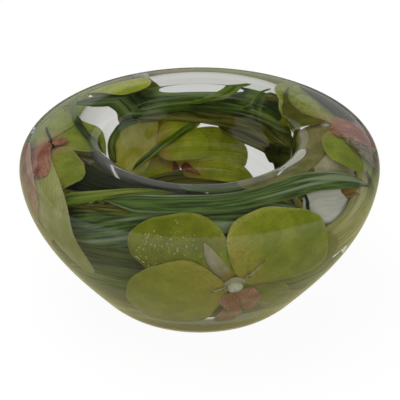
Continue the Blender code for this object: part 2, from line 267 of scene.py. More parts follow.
# The corners of every square of a grid of rows and columns; wrap joins the last column to the first.
def gridQuads(rows, columns, wrap=False):
    index = np.arange(rows * columns).reshape(rows, columns)
    after = np.roll(index, -1, axis=1) if wrap else index[:, 1:]
    here = index if wrap else index[:, :-1]
    return np.stack([here[:-1], after[:-1], after[1:], here[1:]], -1).reshape(-1, 4)


# A closed shell between a front and a back sheet: both grids of squares, and a band round their shared edge.
def shellOf(front, back):
    rows, columns = front.shape[:2]
    count = rows * columns
    index = np.arange(count).reshape(rows, columns)
    sheet = gridQuads(rows, columns)
    edge = np.concatenate([index[0, :-1], index[:-1, -1], index[-1, :0:-1], index[:0:-1, 0]])
    after = np.roll(edge, -1)
    band = np.stack([after, edge, edge + count, after + count], -1)
    quads = np.concatenate([sheet, sheet[:, ::-1] + count, band])
    points = np.concatenate([front.reshape(-1, 3), back.reshape(-1, 3)])
    corners = points[quads]
    across = np.cross(corners[:, 2] - corners[:, 0], corners[:, 3] - corners[:, 1])
    if (corners.mean(1) * across).sum() < 0:
        quads = quads[:, ::-1]
    return points, quads


# Rings of points closed at both ends: each square between two rings is split in two triangles, and a fan of
# triangles joins the first and the last ring to its pole.
def closedRings(rings, lowPole, highPole):
    count, turns = rings.shape[:2]
    quads = gridQuads(count, turns, wrap=True)
    here = np.arange(turns)
    after = np.roll(here, -1)
    last = (count - 1) * turns
    lowFan = np.stack([np.full(turns, count * turns), after, here], -1)
    highFan = np.stack([np.full(turns, count * turns + 1), last + here, last + after], -1)
    points = np.vstack([rings.reshape(-1, 3), lowPole, highPole])
    return points, np.concatenate([quads[:, [0, 1, 2]], quads[:, [0, 2, 3]], lowFan, highFan])


# Equal steps round a full turn, in radians.
def turnSteps(count):
    return np.arange(count) * 2 * math.pi / count


# Bezier curve: the four control points blended by the cubic Bernstein weights.
def bezierCurve(controls, count):
    t = np.linspace(0, 1, count)[:, None]
    a, b, c, d = (np.array(p, float) for p in controls)
    return (1 - t) ** 3 * a + 3 * t * (1 - t) ** 2 * b + 3 * t ** 2 * (1 - t) * c + t ** 3 * d


def arcCurve(centre, radius, start, end, count):
    angle = np.radians(np.linspace(start, end, count))
    return np.stack([centre[0] + radius * np.cos(angle), centre[1] + radius * np.sin(angle)], 1)


# A smooth curve through evenly spaced values (Catmull-Rom), read at positions from 0 to 1. A single number
# holds all along.
def smoothThrough(values, at):
    values = np.array([values, values] if np.isscalar(values) else values, float)
    padded = np.concatenate([[2 * values[0] - values[1]], values, [2 * values[-1] - values[-2]]])
    place = np.clip(at, 0, 1) * (len(values) - 1)
    first = np.minimum(place.astype(int), len(values) - 2)
    t = place - first
    a, b, c, d = (padded[first + k] for k in range(4))
    return b + 0.5 * t * (c - a + t * (2 * a - 5 * b + 4 * c - d + t * (3 * (b - c) + d - a)))


# Resin body.

# The profile as radius and height: points of the foot's edge, control points of its two curves, and how many
# points its seven parts have, from the middle of the underside to the middle of the well's floor.
bowl = {
    "under": (3.0, 51.5), "foot": [(55.9, 0), (57.0, 0.15)], "counts": (12, 56, 40, 22, 12, 22, 10),
    "side": [(57.5, 0), (75.5, 22), (98.5, 47), (100, 75)],
    "shoulder": [(100, 75), (100, 87), (92.5, 95), (70, 95)],
    "lipCentre": (61.0, 88.0), "lipRounding": 7.0,
    "wellRadius": 50.0, "wellFloor": 38.0, "wellCorner": 14.0, "wellMiddle": 2.5, "turns": 256,
}


# The cast body: the profile of radius and height spun round the upright axis, closed at both poles.
def buildResin():
    b = bowl
    cornerCentre = (b["wellRadius"] - b["wellCorner"], b["wellFloor"] + b["wellCorner"])
    underCount, sideCount, shoulderCount, lipCount, wallCount, cornerCount, floorCount = b["counts"]
    under = np.linspace((b["under"][0], 0), (b["under"][1], 0), underCount)
    # the foot's edge stands for the first points of the side
    side = bezierCurve(b["side"], sideCount)[3:]
    shoulder = bezierCurve(b["shoulder"], shoulderCount)[1:]
    lip = arcCurve(b["lipCentre"], b["lipRounding"], 90, 180, lipCount)
    wall = np.linspace(lip[-1], (b["wellRadius"], cornerCentre[1]), wallCount)[1:-1]
    corner = arcCurve(cornerCentre, b["wellCorner"], 0, -90, cornerCount)
    inner = np.linspace(corner[-1], (b["wellMiddle"], corner[-1, 1]), floorCount)[1:]
    profile = np.vstack([under, b["foot"], side, shoulder, lip[1:], wall, corner, inner])
    angle = turnSteps(b["turns"])
    rings = np.stack([profile[:, :1] * np.cos(angle), profile[:, :1] * np.sin(angle),
                      np.repeat(profile[:, 1:], b["turns"], axis=1)], 2)
    points, faces = closedRings(rings, [0, 0, 0], [0, 0, b["wellFloor"]])
    makePiece("resinBody", points, faces, resinMaterial(), ["resin_bowl", "resin_base"])


buildResin()
print("resin body made")


# Places inside the ring of resin.

# The ring's slanted middle line as radius and height, and the layers on which lengths over the top are true.
ring = {"lineLow": (53.0, 35.0), "lineHigh": (71.0, 72.0), "leafReference": 14.0, "flowerReference": 18.0}


# A point on a layer round the slanted line: station 0 is at the line's high end on the outer side, below 0
# it runs down the outer side, above 0 over the top and down the well side. Azimuth 0 faces the front.
def ringPoint(azimuth, station, reference, layer):
    low, high = (np.array(ring[key]) for key in ("lineLow", "lineHigh"))
    line = high - low
    length = np.linalg.norm(line)
    lean = math.atan2(-line[0], line[1])
    overTop = math.pi * reference
    downWell = np.clip(station - overTop, 0, length)
    downSide = np.clip(-station, 0, length)
    angle = lean + (np.clip(station, 0, overTop) - np.clip(-station - length, 0, overTop)) / reference
    share = (downSide + downWell) / length
    radius = high[0] - line[0] * share + layer * np.cos(angle)
    height = high[1] - line[1] * share + layer * np.sin(angle)
    turn = np.radians(azimuth)
    return np.stack([radius * np.sin(turn), -radius * np.cos(turn), height], -1)


# A point of a flower: out and side are lengths along and across a blade that points in the direction,
# clockwise from the top, away from the column's place.
def flowerPoint(place, direction, out, side, layer):
    turn = math.radians(direction)
    x = out * math.sin(turn) + side * math.cos(turn)
    y = out * math.cos(turn) - side * math.sin(turn)
    local = ringPoint(0.0, place[1] + y, ring["flowerReference"], layer)
    azimuth = place[0] + np.degrees(x / np.hypot(local[..., 0], local[..., 1]))
    return ringPoint(azimuth, place[1] + y, ring["flowerReference"], layer)


# The outward normal of a grid of points: the cross product of its two gradients.
def gridNormals(points):
    normal = np.cross(np.gradient(points, axis=0), np.gradient(points, axis=1))
    return normal / np.maximum(np.linalg.norm(normal, axis=-1, keepdims=True), 1e-9)


# A thin blade round a middle sheet: thickness falls from full in the middle to a thin rim at the margins and
# at both ends.
def bladeShell(middle, u, v, thickness, rim=0.15):
    body = np.clip(1 - np.abs(v) ** 4, 0, 1) * np.clip(np.sin(math.pi * np.clip(u, 0.02, 0.98)), 0, 1) ** 0.3
    half = (rim + (thickness - rim) * body)[..., None] / 2
    normal = gridNormals(middle)
    return shellOf(middle + normal * half, middle - normal * half)


# Flowers.

# Petal looks. The colours are green, light green, claw, margin, vein and spot. The numbers are where the
# claw's colour ends, the shares of margin and veins, the vein spacing in mm, the share of the spots and the
# grain at which they start.
petalLooks = {
    "frontPetal": ("#82901c #9fa628 #b7a93f #b9b75c #8f9a2c #6f7a18", 0.45, 0.7, 0.3, 1.5, 0.35, 0.52),
    "frontLowPetal": ("#92981c #aaac2c #b5a340 #aeab4c #989a2e #7f8a20", 0.5, 0.6, 0.3, 1.6, 0.35, 0.5),
    "frontSepal": ("#727b12 #8b9120 #a6984a #a7a84c #848d22 #69711a", 0.4, 0.5, 0.3, 1.5, 0.35, 0.52),
    "sidePetal": ("#82922a #9ca63e #b99a6c #a9ac5c #86943a #68752a", 0.35, 0.5, 0.3, 1.6, 0.3, 0.52),
    # The next look is paler than the sepal's own green and has pale spots: a painted whitish sheen.
    "paleSepal": ("#848d2c #a2a852 #b59a5c #b6ba5c #959a44 #b9be88", 0.3, 0.8, 0.4, 1.4, 0.35, 0.55),
    "creamSepal": ("#a9ac5c #c6c58c #90a03a #bdb58a #9a9e58 #a3a468", 0.5, 0.6, 0.3, 1.6, 0.3, 0.54),
    "freckledPetal": ("#7d8e2a #98a23c #b99a6c #a9ac5c #8a8a3c #8a5a48", 0.35, 0.5, 0.3, 1.6, 0.6, 0.57),
    "blushPetal": ("#a98268 #c4a488 #a5694e #c9b096 #b08c70 #9a6a50", 0.5, 0.5, 0.3, 1.6, 0.3, 0.54),
    "veilPetal": ("#74733a #958c58 #9a8c5a #a3a05c #787c40 #5c6034", 0.3, 0.5, 0.3, 1.6, 0.3, 0.54),
    "ovary": ("#7a4a22 #8a6a2c #6a2c1c #7a4a26 #6e3a20 #5a241a", 0.6, 0.2, 0.3, 2, 0.4, 0.5),
    "foldedPetal": ("#b4ae3c #cfc862 #b98f4c #d0c874 #b8ae48 #9c8436", 0.3, 0.2, 0.2, 2, 0.3, 0.54),
    "backPetal": ("#9aab1e #bcc23a #b2963c #c8bc5c #a8a830 #86702a", 0.45, 0.3, 0.3, 2, 0.3, 0.54),
    "lip": ("#98583f #c08c78 #ab7c48 #c79a88 #85463c #7a3a34", 0.25, 0.5, 0.35, 1.8, 0.4, 0.56),
    "freckle": ("#6f6a40 #8d8259 #a0744a #9a8458 #7b7040 #5c2e28", 0.3, 0.5, 0.3, 1.8, 0.7, 0.48),
    "arm": ("#a8a062 #bdb67e #a8a062 #b5ae74 #9a9256 #3d3a1c", 0.2, 0.3, 0.2, 1.5, 0.8, 0.5),
    # The next look is pale beige-grey: a painted silvery reflection, as thin films and pockets of air show in
    # resin. The hood takes the same colour.
    "film": ("#a0986c #bdb49c #a8894c #cfc89c #a8a07c #8f886c", 0.3, 0.6, 0.2, 2, 0.3, 0.56),
    # The next look is dark olive: painted shade on the underside of a folded margin.
    "fold": ("#4f5204 #686a12 #6a5c14 #a39a3c #5c5e10 #454a08", 0.2, 0.7, 0.3, 2, 0.3, 0.56),
}
materials = {name: petalMaterial(name + "Tissue", *look) for name, look in petalLooks.items()}
materials["column"] = columnMaterial()


# A blade: direction clockwise from the top, length, layers at claw and tip, half-widths to the left and to
# the right of its midrib from claw to tip, and how far out from the column's place it starts. One layer or
# one list of widths serves for both. Cup lifts the margins, arch lifts the middle, and ruffle is the height
# of that many waves in the margin.
def lobe(direction, length, layers, left, right=None, start=3.7, cup=-0.4, arch=0.3, ruffle=0.3, waves=3,
         look=None):
    return {"direction": direction, "length": length, "layers": layers, "left": left, "right": right or left,
            "start": start, "cup": cup, "arch": arch, "ruffle": ruffle, "waves": waves, "look": look}


# Each flower: its place, the looks of its blades, the layers of its column and its five blades.
flowers = {
    "front_flower": {
        "place": (12, -12.5), "petal": "frontPetal", "sepal": "frontSepal", "column": (15.2, 24.9),
        "dorsal_sepal": lobe(-64, 60, (17.6, 16.6), (3, 8, 11, 12, 9, 6), (6, 21, 27, 26, 17, 6), arch=0.6,
                             ruffle=0.2),
        "left_sepal": lobe(135, 46, 17.6, (5, 11, 14, 13, 9, 4), (4, 6, 8, 8, 7, 4)),
        "right_sepal": lobe(84, 61, (16, 16.6), (3, 8, 13, 15, 14, 8), (3, 8, 12, 15, 15, 9)),
        "left_petal": lobe(-112, 57, (19.2, 18.6), (5, 17, 30, 34, 32, 17), (11, 26, 29, 28, 22, 8), arch=1.6,
                           ruffle=0.4, waves=4, look="frontLowPetal"),
        "right_petal": lobe(62, 55, (19.2, 19), (24, 30, 29, 25, 15, 5), (3, 9, 16, 22, 24, 12), arch=1.8,
                            ruffle=0.5, waves=5),
    },
    "left_flower": {
        "place": (-84, 22), "petal": "sidePetal", "sepal": "sidePetal", "column": (13.8, 19),
        "dorsal_sepal": lobe(-14, 42, (16.8, 15.6), (8, 25, 25, 17, 13, 6), (5, 12, 16, 15, 11, 5), arch=0.4),
        "left_sepal": lobe(-152, 48, (15.3, 16), (3, 8, 11, 11, 8, 3), ruffle=0.2),
        "right_sepal": lobe(118, 75, (18.6, 20.4), (5, 12, 17, 20, 19, 10), (3, 5, 3, 3, 7, 8), arch=0.8,
                            look="creamSepal"),
        "left_petal": lobe(-97, 52, (18.2, 17), (4, 9, 12, 12, 9, 4), (4, 14, 18, 12, 5, 2), arch=0.4,
                           waves=4),
        "right_petal": lobe(82, 44, (17.3, 17.4), (10, 13, 13, 12, 8, 3), (4, 9, 11, 13, 14, 10), cup=-0.3,
                            waves=4, look="freckledPetal"),
    },
    "right_flower": {
        "place": (101, 36), "petal": "sidePetal", "sepal": "sidePetal", "column": (10.4, 15.6),
        # This sepal's look is its own green with a painted whitish sheen on it.
        "dorsal_sepal": lobe(99, 60, (14.6, 21), (9, 14.5, 15, 12.5, 9, 4), (3, 6, 7, 7.5, 8, 5), cup=0.9,
                             arch=-0.4, ruffle=0.05, look="paleSepal"),
        "left_sepal": lobe(-108, 51, (14.6, 19.6), (3, 5, 7, 9, 9, 5), (4, 9, 11, 11, 9, 4), cup=-0.3,
                           ruffle=0.2),
        "right_sepal": lobe(150, 50, (16.1, 19.6), (3, 9, 12, 12, 9, 4), ruffle=0.2),
        "left_petal": lobe(-132, 52, (13.1, 18), (3, 7, 9, 9, 7, 3), cup=-0.3, arch=0.2, ruffle=0.2, waves=4),
        "right_petal": lobe(122, 42, (13.1, 13.5), (3, 7, 9, 9, 7, 3), cup=-0.3, arch=0.2, ruffle=0.2,
                            waves=4),
    },
    "back_flower": {
        "place": (-164, -20), "petal": "backPetal", "sepal": "backPetal", "column": (7.9, 24.6),
        "dorsal_sepal": lobe(28, 68, (12.8, 19), (4, 8, 10, 13, 18, 11), (8, 21, 26, 27, 25, 12), arch=0.4),
        "left_sepal": lobe(140, 46, (11.3, 12.4), (4, 10, 14, 14, 11, 5), cup=-0.3, arch=0.2, ruffle=0.2),
        "right_sepal": lobe(-125, 54, (12.4, 12.8), (3, 9, 16, 19, 16, 8), (1, 1, 2, 6, 12, 6), cup=-0.3,
                            arch=0.2, ruffle=0.2),
        "left_petal": lobe(95, 50, (14.3, 16.8), (7, 5, 3, 3, 4, 4), (5, 12, 17, 17, 12, 5), arch=0.5,
                           waves=4),
        "right_petal": lobe(-88, 58, (14.3, 16), (6, 12, 13, 13, 13, 8), (5, 11, 13, 13, 10, 6), arch=0.5,
                            waves=4),
    },
}
# Each lip is made of several lobes round the same place.
lips = {
    "front_flower": [
        lobe(172, 34, (20.8, 21.2), (1, 1, 1.5, 2, 3, 2), (4, 8, 7.5, 5, 3.5, 2.5), cup=0.8, arch=0.8,
             ruffle=0.5),
        lobe(157, 28, (21.6, 22.2), (7, 8.5, 9.2, 8.5, 6, 2), (1, 1, 2, 3, 3, 2), cup=-0.8, arch=1.4,
             ruffle=0.4),
        lobe(180, 43, (19.8, 20.4), (1, 1, 1, 2.5, 5, 4), (1, 1, 2, 5, 7, 4), arch=0.2, ruffle=0.6),
    ],
    "left_flower": [
        lobe(95, 28, (19.8, 20.4), (3, 4.5, 4.5, 4, 3, 1.5), (4, 6, 6.5, 6.5, 5, 3), start=-5, cup=-0.5,
             arch=1, ruffle=0.5),
        lobe(5, 13, (20, 20.4), (2, 3, 3.5, 3.5, 3, 2), start=4, cup=-0.5, arch=0.8, ruffle=0.4, waves=2),
    ],
    "right_flower": [
        lobe(-160, 27, (18.6, 22), (9, 14, 15, 13, 8, 3), (8, 13, 14, 14, 12, 5), cup=-0.6, arch=1,
             ruffle=0.8, waves=4),
    ],
    "back_flower": [
        lobe(-176, 34, (15.6, 17.2), (2, 4, 5, 4, 2.5, 1.5), cup=0.4, arch=0.4, ruffle=0.4, waves=4),
        lobe(-143, 28, (13.4, 13.8), (1, 1.6, 1.8, 1.8, 1.6, 1), start=18, cup=0.4, arch=0.2, waves=2),
    ],
}
# Loose pieces beside the petals: place, look and lobes. The dark fold is painted shade. The pale films and
# the pocket of air carry a painted silvery reflection.
loosePieces = {
    "frontPocket": ((12, -12.5), "film", [
        lobe(-32, 31, (18.4, 19.2), (3, 4, 4, 3.5, 2.5, 1), (2, 3.5, 3.5, 3, 2, 1), start=9, cup=-0.8,
             arch=0.8, ruffle=0.2, waves=2)]),
    "frontBase": ((12, -12.5), "frontPetal", [
        lobe(-12, 26, (17.4, 17.6), (6, 10, 11, 10, 7, 3), arch=0.4, ruffle=0.2, waves=2)]),
    "frontArms": ((12, -12.5), "arm", [
        lobe(-100, 14, (21, 22.4), (0.5, 0.8, 1, 1, 0.8, 0.5), cup=-0.3, ruffle=0.1, waves=2),
        lobe(39, 22, (21.2, 22.2), (0.5, 0.8, 1, 1, 0.8, 0.5), start=8, cup=-0.3, ruffle=0.1, waves=2)]),
    "frontHood": ((12, -12.5), "film", [
        lobe(-5, 7.5, (19.8, 20.4), (3, 5, 5.5, 5, 3.5, 2), start=-1, cup=-0.6, arch=0.8, ruffle=0.2,
             waves=2)]),
    "leftBlush": ((-95, 12), "blushPetal", [
        lobe(92, 54, 21.8, (3, 5, 5.6, 5.4, 4, 2), (6, 10, 13, 14, 13, 8), start=0, cup=-0.3, ruffle=0.2,
             waves=2)]),
    "rightFilm": ((101, 36), "film", [
        lobe(-105, 59, 13.6, (6, 9, 10, 10, 9, 5), (10, 16, 17, 16, 12, 6), start=30, cup=-0.3)]),
    "rightFreckles": ((101, 36), "freckle", [
        lobe(-128, 41, (18.2, 21.4), (3, 5, 6, 8, 9, 5), (3, 5, 6, 8, 8, 4), arch=0.6, ruffle=0.6, waves=4)]),
    "rightVeil": ((101, 36), "veilPetal", [
        lobe(-80, 82, (15, 14.4), (3, 4, 5, 6, 8, 5), (11, 15, 21, 27, 24, 15), start=-5, arch=0.4,
             ruffle=0.2, waves=2)]),
    "backFolds": ((-164, -20), "foldedPetal", [
        lobe(20, 112, (6.2, 6.8), (14, 18, 20, 20, 18, 14), start=68),
        lobe(-4, 89, 7.6, (8, 12, 14, 13, 10, 5), (6, 9, 10, 9, 7, 4), start=72, waves=2)]),
    "backLow": ((190, -38), "backPetal", [
        lobe(-90, 50, 9.2, (5, 9, 11, 11, 9, 4), (6, 10, 13, 13, 11, 5), start=0, cup=-0.3, waves=2)]),
    "backFill": ((-152, 74), "backPetal", [
        lobe(-90, 32, 8.4, (6, 13, 17, 14, 9, 4), (6, 10, 11, 11, 10, 6), start=0, cup=-0.3, arch=0.2,
             ruffle=0.2, waves=2)]),
    "backOvary": ((-168, 88), "ovary", [
        lobe(-57, 12.5, 8.2, (2.4, 2.6, 2.2, 1.7, 1.1, 0.6), start=0, cup=-0.2, arch=0.2, ruffle=0.1,
             waves=2)]),
    "frontCurl": ((12, -12.5), "veilPetal", [
        lobe(142, 40, (20.4, 20.8), (1, 2, 2.6, 2.6, 2, 1), start=24, cup=-0.8, arch=0.6, waves=2),
        lobe(121, 50, (19.6, 20), (1, 2, 2.4, 2.4, 2, 1), start=28, arch=0.4, waves=2)]),
    # A dark olive fold under the right dorsal sepal: painted shade on the fold's underside.
    "rightFold": ((101, 36), "fold", [
        lobe(51, 27, (20, 21.4), (4, 8, 7.5, 5, 2.5, 1), (0.5, 1.4, 2.4, 3.4, 4.4, 2), start=1, cup=-0.3,
             arch=0.2, ruffle=0.1, waves=2)]),
}
# What all blades share: millimetres, parts of the length that are rounded, and shapes of curves. The waves of
# the two margins are out of step by twice the side shift.
bladeForm = {"claw": 1.6, "leastWidth": 0.3, "roundStart": 0.10, "roundEnd": 0.14, "thickness": 0.9,
             "grooveDepth": 0.25, "grooveWidth": 1.2, "swell": 0.8, "archFall": 0.6, "sideShift": 1.7,
             "rows": 64, "columns": 33}


# Half-width of a blade along u: a smooth curve through its list, rounded off like a circle's edge over the
# first and the last part.
def bladeOutline(u, widths):
    b = bladeForm
    start = np.sqrt(np.clip(1 - (1 - np.clip(u / b["roundStart"], 0, 1)) ** 2, 0, 1))
    end = np.sqrt(np.clip(1 - np.clip((u - (1 - b["roundEnd"])) / b["roundEnd"], 0, 1) ** 2, 0, 1))
    return np.maximum(smoothThrough(widths, u) * start * end, b["claw"] * (1 - u) + b["leastWidth"])


# A blade's middle sheet: straight from claw to tip in out, side carries the half-widths, and the layer is a
# straight rise plus arch, cup, midrib groove and waves that grow towards the margin.
def bladeSheet(place, b):
    form = bladeForm
    along = (1 - np.cos(np.linspace(0, math.pi, form["rows"]))) / 2
    across = np.sin(np.linspace(-math.pi / 2, math.pi / 2, form["columns"]))
    u, v = np.meshgrid(along, across, indexing="ij")
    left, right = (bladeOutline(along, b[key])[:, None] for key in ("left", "right"))
    side = v * np.where(v < 0, left, right)
    out = b["start"] + (b["length"] - b["start"]) * u
    swell = np.sin(math.pi * u) ** form["swell"]
    step = form["sideShift"] * np.sign(v) + b["length"]
    wave = np.sin(2 * math.pi * b["waves"] * u + step) * np.abs(v) ** 3
    groove = -form["grooveDepth"] * np.exp(-(side / form["grooveWidth"]) ** 2) * swell
    first, last = np.broadcast_to(b["layers"], 2)
    layer = (first + (last - first) * u + b["arch"] * swell * (1 - form["archFall"] * v ** 2)
             + b["cup"] * swell * v ** 2 + b["ruffle"] * swell * wave + groove)
    return u, v, side, flowerPoint(place, b["direction"], out, side, layer)


# One piece of one or more blades round a place.
def buildBlades(name, place, lobes, material, node=None):
    points, quads, marks, count = [], [], [], 0
    for blade in lobes:
        u, v, side, middle = bladeSheet(place, blade)
        lobePoints, lobeQuads = bladeShell(middle, u, v, bladeForm["thickness"])
        mark = np.stack([u, v, side / np.maximum(np.abs(v), 0.05) * v], -1).reshape(-1, 3)
        points.append(lobePoints)
        quads.append(lobeQuads + count)
        marks.extend([mark, mark])
        count += len(lobePoints)
    makePiece(name, np.concatenate(points), np.concatenate(quads), material, [node],
              np.concatenate(marks))


# Radii and lengths in millimetres; stalkEnd is the share of the cap that the stalk reaches into.
columnForm = {"stalk": 2.4, "stalkSwell": 0.5, "stalkEnd": 0.35, "cap": 4.1, "capLength": 6.4,
              "capFullness": 0.9, "footRadius": 0.3, "tipRadius": 0.2, "cleft": 0.16, "cleftWidth": 0.35,
              "rows": 40, "turns": 28}


# The column: an upright stalk with a rounded anther cap, its radius carried along its own axis. The cap's
# radius is that of a ball, made a little fuller.
def buildColumn(name, place, layers, node):
    c = columnForm
    start, end = (ringPoint(place[0], np.array(place[1]), ring["flowerReference"], layer)
                  for layer in layers)
    reach = np.linalg.norm(end - start)
    axis = (end - start) / reach
    level = np.array([math.cos(math.radians(place[0])), math.sin(math.radians(place[0])), 0.0])
    other = np.cross(axis, level)
    t = np.linspace(0, 1, c["rows"])
    cap = np.clip((t * reach - (reach - c["capLength"])) / c["capLength"], 0, 1)
    stalk = c["stalk"] + c["stalkSwell"] * np.sin(math.pi * t)
    ball = c["cap"] * np.sqrt(np.clip(4 * cap * (1 - cap), 0, 1)) ** c["capFullness"]
    radius = np.where(cap > 0, np.maximum(stalk * (cap < c["stalkEnd"]), ball), stalk)
    radius[0], radius[-1] = c["footRadius"], c["tipRadius"]
    angle = turnSteps(c["turns"])
    # a shallow cleft down the cap's lower side
    cleft = 1 - c["cleft"] * np.exp(-((angle[None, :] - 1.5 * math.pi) / c["cleftWidth"]) ** 2) * cap[:, None]
    spoke = np.cos(angle)[:, None] * level + np.sin(angle)[:, None] * other
    rings = start + (t * reach)[:, None, None] * axis + (radius[:, None] * cleft)[..., None] * spoke[None]
    points, faces = closedRings(rings, start, end)
    makePiece(name, points, faces, materials["column"], [node])


for flowerName, flower in flowers.items():
    title = flowerName.split("_")[0]
    place = flower["place"]
    buildColumn(title + "Column", place, flower["column"], flowerName + "_column")
    buildBlades(title + "Lip", place, lips[flowerName], materials["lip"], flowerName + "_lip")
    for key in ("dorsal_sepal", "left_sepal", "right_sepal", "left_petal", "right_petal"):
        kind = key.split("_")[1]
        label = title + "".join(word.capitalize() for word in key.split("_"))
        look = flower[key]["look"] or flower[kind]
        buildBlades(label, place, [flower[key]], materials[look], flowerName + "_" + key)
    print(title, "flower made")
for pieceName, (place, look, lobes) in loosePieces.items():
    buildBlades(pieceName, place, lobes, materials[look])


# Leaves.

# Leaf looks. The colours are the dark and mid streaks, the broad pale streaks and the edge. The numbers are
# the share of the pale streaks and the seed of the pattern.
leafLooks = {
    "deepLeaf": ("#222d0a #526a20 #84985a #5f7a2e", 0.5, 1),
    "brightLeaf": ("#34450c #6a8422 #a3ac52 #8f9a30", 0.6, 7),
    # The next look is the olive and amber of the band in the foot: painted light.
    "footLightBand": ("#7a6c18 #a0922c #b5a848 #7a7028", 0.5, 17),
    "oliveLeaf": ("#363a0c #75742a #a39b54 #98873a", 0.5, 13),
    # The next look has extra pale bluish streaks: the leaf's own stripes with a painted sheen of the resin on
    # them.
    "frontLeaf": ("#33441a #65803c #b0bd98 #7c9048", 0.6, 41),
    "greyLeaf": ("#2e2f1e #585942 #7b7c66 #4c4d34", 0.5, 47),
    # The next look is near white: painted light, a sheet that stands in for the white backdrop seen through
    # the resin.
    "whiteLightFilm": ("#d2d0c2 #e2e0d6 #e8e6dc #b5b29c", 0.6, 53),
    "amberLeaf": ("#6b5016 #96732c #b39a56 #7a5f22", 0.5, 59),
    "paleLeaf": ("#92923c #c2be60 #dcd89c #5d6144", 0.6, 29),
    "rimLeaf": ("#1c2400 #333c04 #4e5412 #3a4208", 0.4, 35),
    "shadeLeaf": ("#0f1403 #242c0a #444f1e #3c4a16", 0.3, 21),
}
for name, look in leafLooks.items():
    materials[name] = leafMaterial(name + "Blade", *look)

